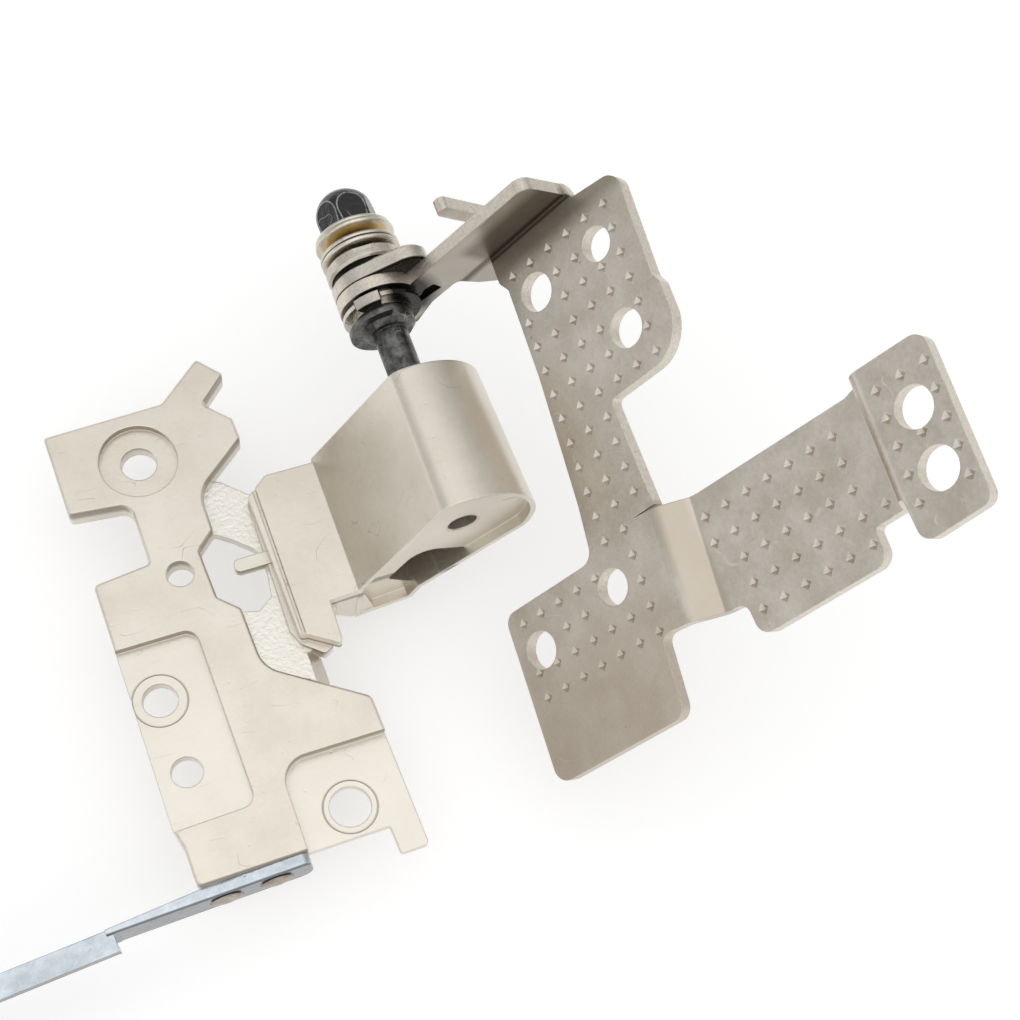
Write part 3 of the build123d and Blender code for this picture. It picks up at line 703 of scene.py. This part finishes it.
def makeDisc(node, side):
    low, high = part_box(node)
    thick = discSetup["thickness"] * millimetre
    cone = discSetup["cone"] * millimetre if side else 0
    inner = high.x if side >= 0 else high.x - cone
    outer = high.x - cone if side > 0 else high.x
    hole = discSetup["hole"] * millimetre
    rim = high.z - (low.z + high.z) / 2
    section = [(inner, hole), (outer, rim), (outer - thick, rim), (inner - thick, hole)]
    bpy.ops.object.select_all(action="DESELECT")
    bpy.ops.mesh.primitive_circle_add(vertices=len(section), radius=rim)
    disc = bpy.context.object
    disc.name = node + "_round"
    for vertex, (x, radius) in zip(disc.data.vertices, section):
        vertex.co = (x, radius, 0)
    bpy.ops.object.mode_set(mode="EDIT")
    bpy.ops.mesh.select_all(action="SELECT")
    bpy.ops.mesh.spin(steps=discSetup["spinSteps"], angle=2 * pi, center=(0, 0, 0),
                      axis=(1, 0, 0))
    bpy.ops.mesh.select_all(action="SELECT")
    bpy.ops.mesh.remove_doubles(threshold=mergeDistance)
    bpy.ops.mesh.normals_make_consistent(inside=False)
    bpy.ops.object.mode_set(mode="OBJECT")
    applyModifier(disc, "BEVEL", width=discSetup["round"] * millimetre,
                  segments=discSetup["roundSteps"], limit_method="ANGLE",
                  angle_limit=radians(discSetup["roundAngle"]))
    smoothPiece(disc, discSetup["smoothAngle"])
    standFor(disc, node, "springNickel")


for node, side in discSetup["discs"].items():
    makeDisc(node, side)
print("discs made:", len(discSetup["discs"]))


# Lock nut: a hexagon cut by a turned dome. A station is a place from the seat and a radius.
nutSetup = {
    "flats": 4.1,
    "turn": -7.6,
    "sides": 96,
    "smoothAngle": 12,
    "stations": [(0.0, 2.05), (-0.25, 2.26), (-1.35, 2.31), (-1.8, 2.27), (-2.2, 2.17),
                 (-2.6, 1.99), (-2.95, 1.74), (-3.27, 1.38), (-3.5, 0.98), (-3.62, 0.6),
                 (-3.65, 0.3)],
}


def makeNut():
    low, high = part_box("lock_nut")
    seat = high.x
    depth = high.x - low.x
    bpy.ops.object.select_all(action="DESELECT")
    corner = nutSetup["flats"] * millimetre / 2 / cos(radians(30))
    bpy.ops.mesh.primitive_cylinder_add(vertices=6, radius=corner, depth=depth,
                                        location=((low.x + high.x) / 2, 0, 0),
                                        rotation=(0, pi / 2, 0))
    nut = bpy.context.object
    nut.name = "lock_nut_dome"
    nut.matrix_world = Matrix.Rotation(radians(nutSetup["turn"]), 4, "X") @ nut.matrix_world
    applyPlace(nut)
    stations = [(seat + x * millimetre, radius * millimetre) for x, radius in nutSetup["stations"]]
    dome = turnPiece("nutDome", stations, (0, 0), nutSetup["sides"])
    applyModifier(nut, "BOOLEAN", operation="INTERSECT", object=dome, solver="EXACT")
    bpy.data.objects.remove(dome)
    smoothPiece(nut, nutSetup["smoothAngle"])
    standFor(nut, "lock_nut", "blackNut")


makeNut()
print("nut made")


# Rivets: peened heads with a soft crown. A station is a place from the crown and a radius.
rivetSetup = {
    "sides": 64,
    "smoothAngle": 50,
    "stations": [(-2.4, 0.7), (-0.32, 0.7), (-0.3, 1.04), (-0.22, 1.1), (-0.14, 1.06),
                 (-0.07, 0.92), (-0.02, 0.66), (0.0, 0.3)],
}


def makeRivet(node):
    low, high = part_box(node)
    middle = (low + high) / 2
    stations = [(high.x + x * millimetre, radius * millimetre)
                for x, radius in rivetSetup["stations"]]
    rivet = turnPiece(node + "_head", stations, (middle.y, middle.z), rivetSetup["sides"])
    smoothPiece(rivet, rivetSetup["smoothAngle"])
    standFor(rivet, node, "rivetNickel")


for node in rivetNodes:
    makeRivet(node)
print("rivets made:", len(rivetNodes))


# Floor and light
studio = {
    "floorDrop": 0.6,
    "floorSize": 4.0,
    "floorColour": (0.7, 0.7, 0.7, 1),
    "floorRoughness": 0.9,
    "floorGlow": 0.4,
    "skyMiddle": 0.68,
    "skyRise": 0.76,
    "skyRisePower": 4.0,
    "skyLean": (0.26, -0.08, 0.0),
}


def makeFloor():
    low = cadBox[0][2] - studio["floorDrop"] * millimetre
    bpy.ops.object.select_all(action="DESELECT")
    bpy.ops.mesh.primitive_plane_add(size=studio["floorSize"], location=(0, 0, low))
    floor = bpy.context.object
    floor.name = "studioFloor"
    material, tree, shader = startMaterial("paleFloor")
    shader.inputs["Base Color"].default_value = studio["floorColour"]
    shader.inputs["Roughness"].default_value = studio["floorRoughness"]
    shader.inputs["Specular IOR Level"].default_value = 0.0
    # lifts the lit floor to white where it is seen, also in the metal, and keeps the shadow
    path = addNode(tree, "ShaderNodeLightPath").outputs
    seen = addMath(tree, "ADD", path["Is Camera Ray"], path["Is Glossy Ray"])
    seen = addMath(tree, "ADD", seen, path["Is Transmission Ray"], clamp=True)
    glow = addMath(tree, "MULTIPLY", seen, studio["floorGlow"])
    shader.inputs["Emission Color"].default_value = (1, 1, 1, 1)
    tree.links.new(glow, shader.inputs["Emission Strength"])
    floor.data.materials.append(material)


def makeLight():
    # soft sky, brightest overhead and a little darker toward the photograph's upper edge
    world = bpy.data.worlds.new("softSky")
    bpy.context.scene.world = world
    world.use_nodes = True
    tree = world.node_tree
    ray = addNode(tree, "ShaderNodeTexCoord").outputs["Generated"]
    lean = addNode(tree, "ShaderNodeVectorMath", {0: ray, 1: studio["skyLean"]},
                   operation="DOT_PRODUCT").outputs["Value"]
    upward = addNode(tree, "ShaderNodeSeparateXYZ", {0: ray}).outputs["Z"]
    above = addMath(tree, "MAXIMUM", upward, 0.0)
    overhead = addMath(tree, "POWER", above, studio["skyRisePower"])
    rise = addMath(tree, "MULTIPLY", overhead, studio["skyRise"])
    level = addMath(tree, "ADD", addMath(tree, "ADD", rise, lean), studio["skyMiddle"])
    tree.nodes["Background"].inputs["Color"].default_value = (1, 1, 1, 1)
    tree.links.new(level, tree.nodes["Background"].inputs["Strength"])


makeFloor()
makeLight()
bpy.context.scene.view_settings.view_transform = "Standard"
print("studio ready")
